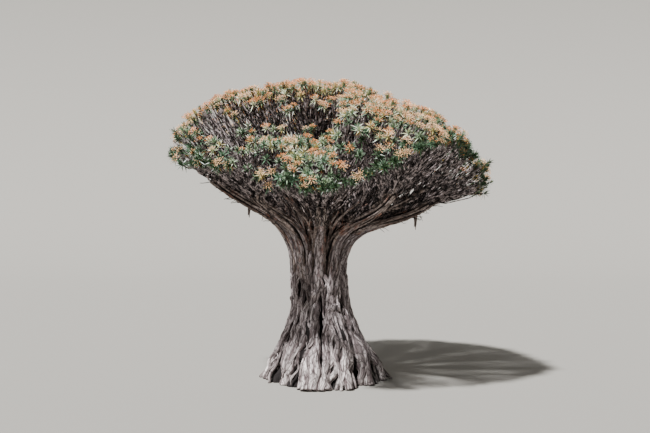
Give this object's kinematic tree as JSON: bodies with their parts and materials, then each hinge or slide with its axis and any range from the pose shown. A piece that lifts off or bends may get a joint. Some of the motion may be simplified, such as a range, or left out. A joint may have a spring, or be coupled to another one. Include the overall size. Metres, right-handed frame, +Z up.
{
  "type": "dragon tree",
  "caption": "Old dragon tree with a stout fluted trunk, a fork of long bare boughs and a wide umbrella of sword-leaf rosettes with fruit panicles.",
  "frame": {"origin": "middle of the flat cut under the trunk, at ground level", "axes": "+Z up; -Y towards the side that the picture shows; +X to the right in that view"},
  "size_m": [18.9374, 18.679, 16.9996],
  "materials": {
    "trunk_bark": "rough grey-brown bark with lengthwise folds",
    "bough_bark": "grey-brown bark, smoother than the trunk's",
    "foliage": "satin grey-green leaves on grey twigs, with orange fruit"
  },
  "bodies": {
    "root": {"trunk": "trunk_bark", "bough_rim_1": "bough_bark", "bough_rim_2": "bough_bark", "bough_rim_3": "bough_bark", "bough_rim_4": "bough_bark", "bough_rim_5": "bough_bark", "bough_rim_6": "bough_bark", "bough_rim_7": "bough_bark", "bough_rim_8": "bough_bark", "bough_rim_9": "bough_bark", "bough_rim_10": "bough_bark", "bough_mid_1": "bough_bark", "bough_mid_2": "bough_bark", "bough_mid_3": "bough_bark", "bough_mid_4": "bough_bark", "bough_mid_5": "bough_bark", "bough_mid_6": "bough_bark", "bough_mid_7": "bough_bark", "bough_top_1": "bough_bark", "bough_top_2": "bough_bark", "bough_top_3": "bough_bark", "mass_rim_1": "foliage", "mass_rim_2": "foliage", "mass_rim_3": "foliage", "mass_rim_4": "foliage", "mass_rim_5": "foliage", "mass_rim_6": "foliage", "mass_rim_7": "foliage", "mass_rim_8": "foliage", "mass_rim_9": "foliage", "mass_rim_10": "foliage", "mass_mid_1": "foliage", "mass_mid_2": "foliage", "mass_mid_3": "foliage", "mass_mid_4": "foliage", "mass_mid_5": "foliage", "mass_mid_6": "foliage", "mass_mid_7": "foliage", "mass_top_1": "foliage", "mass_top_2": "foliage", "mass_top_3": "foliage"}
  },
  "joints": []
}
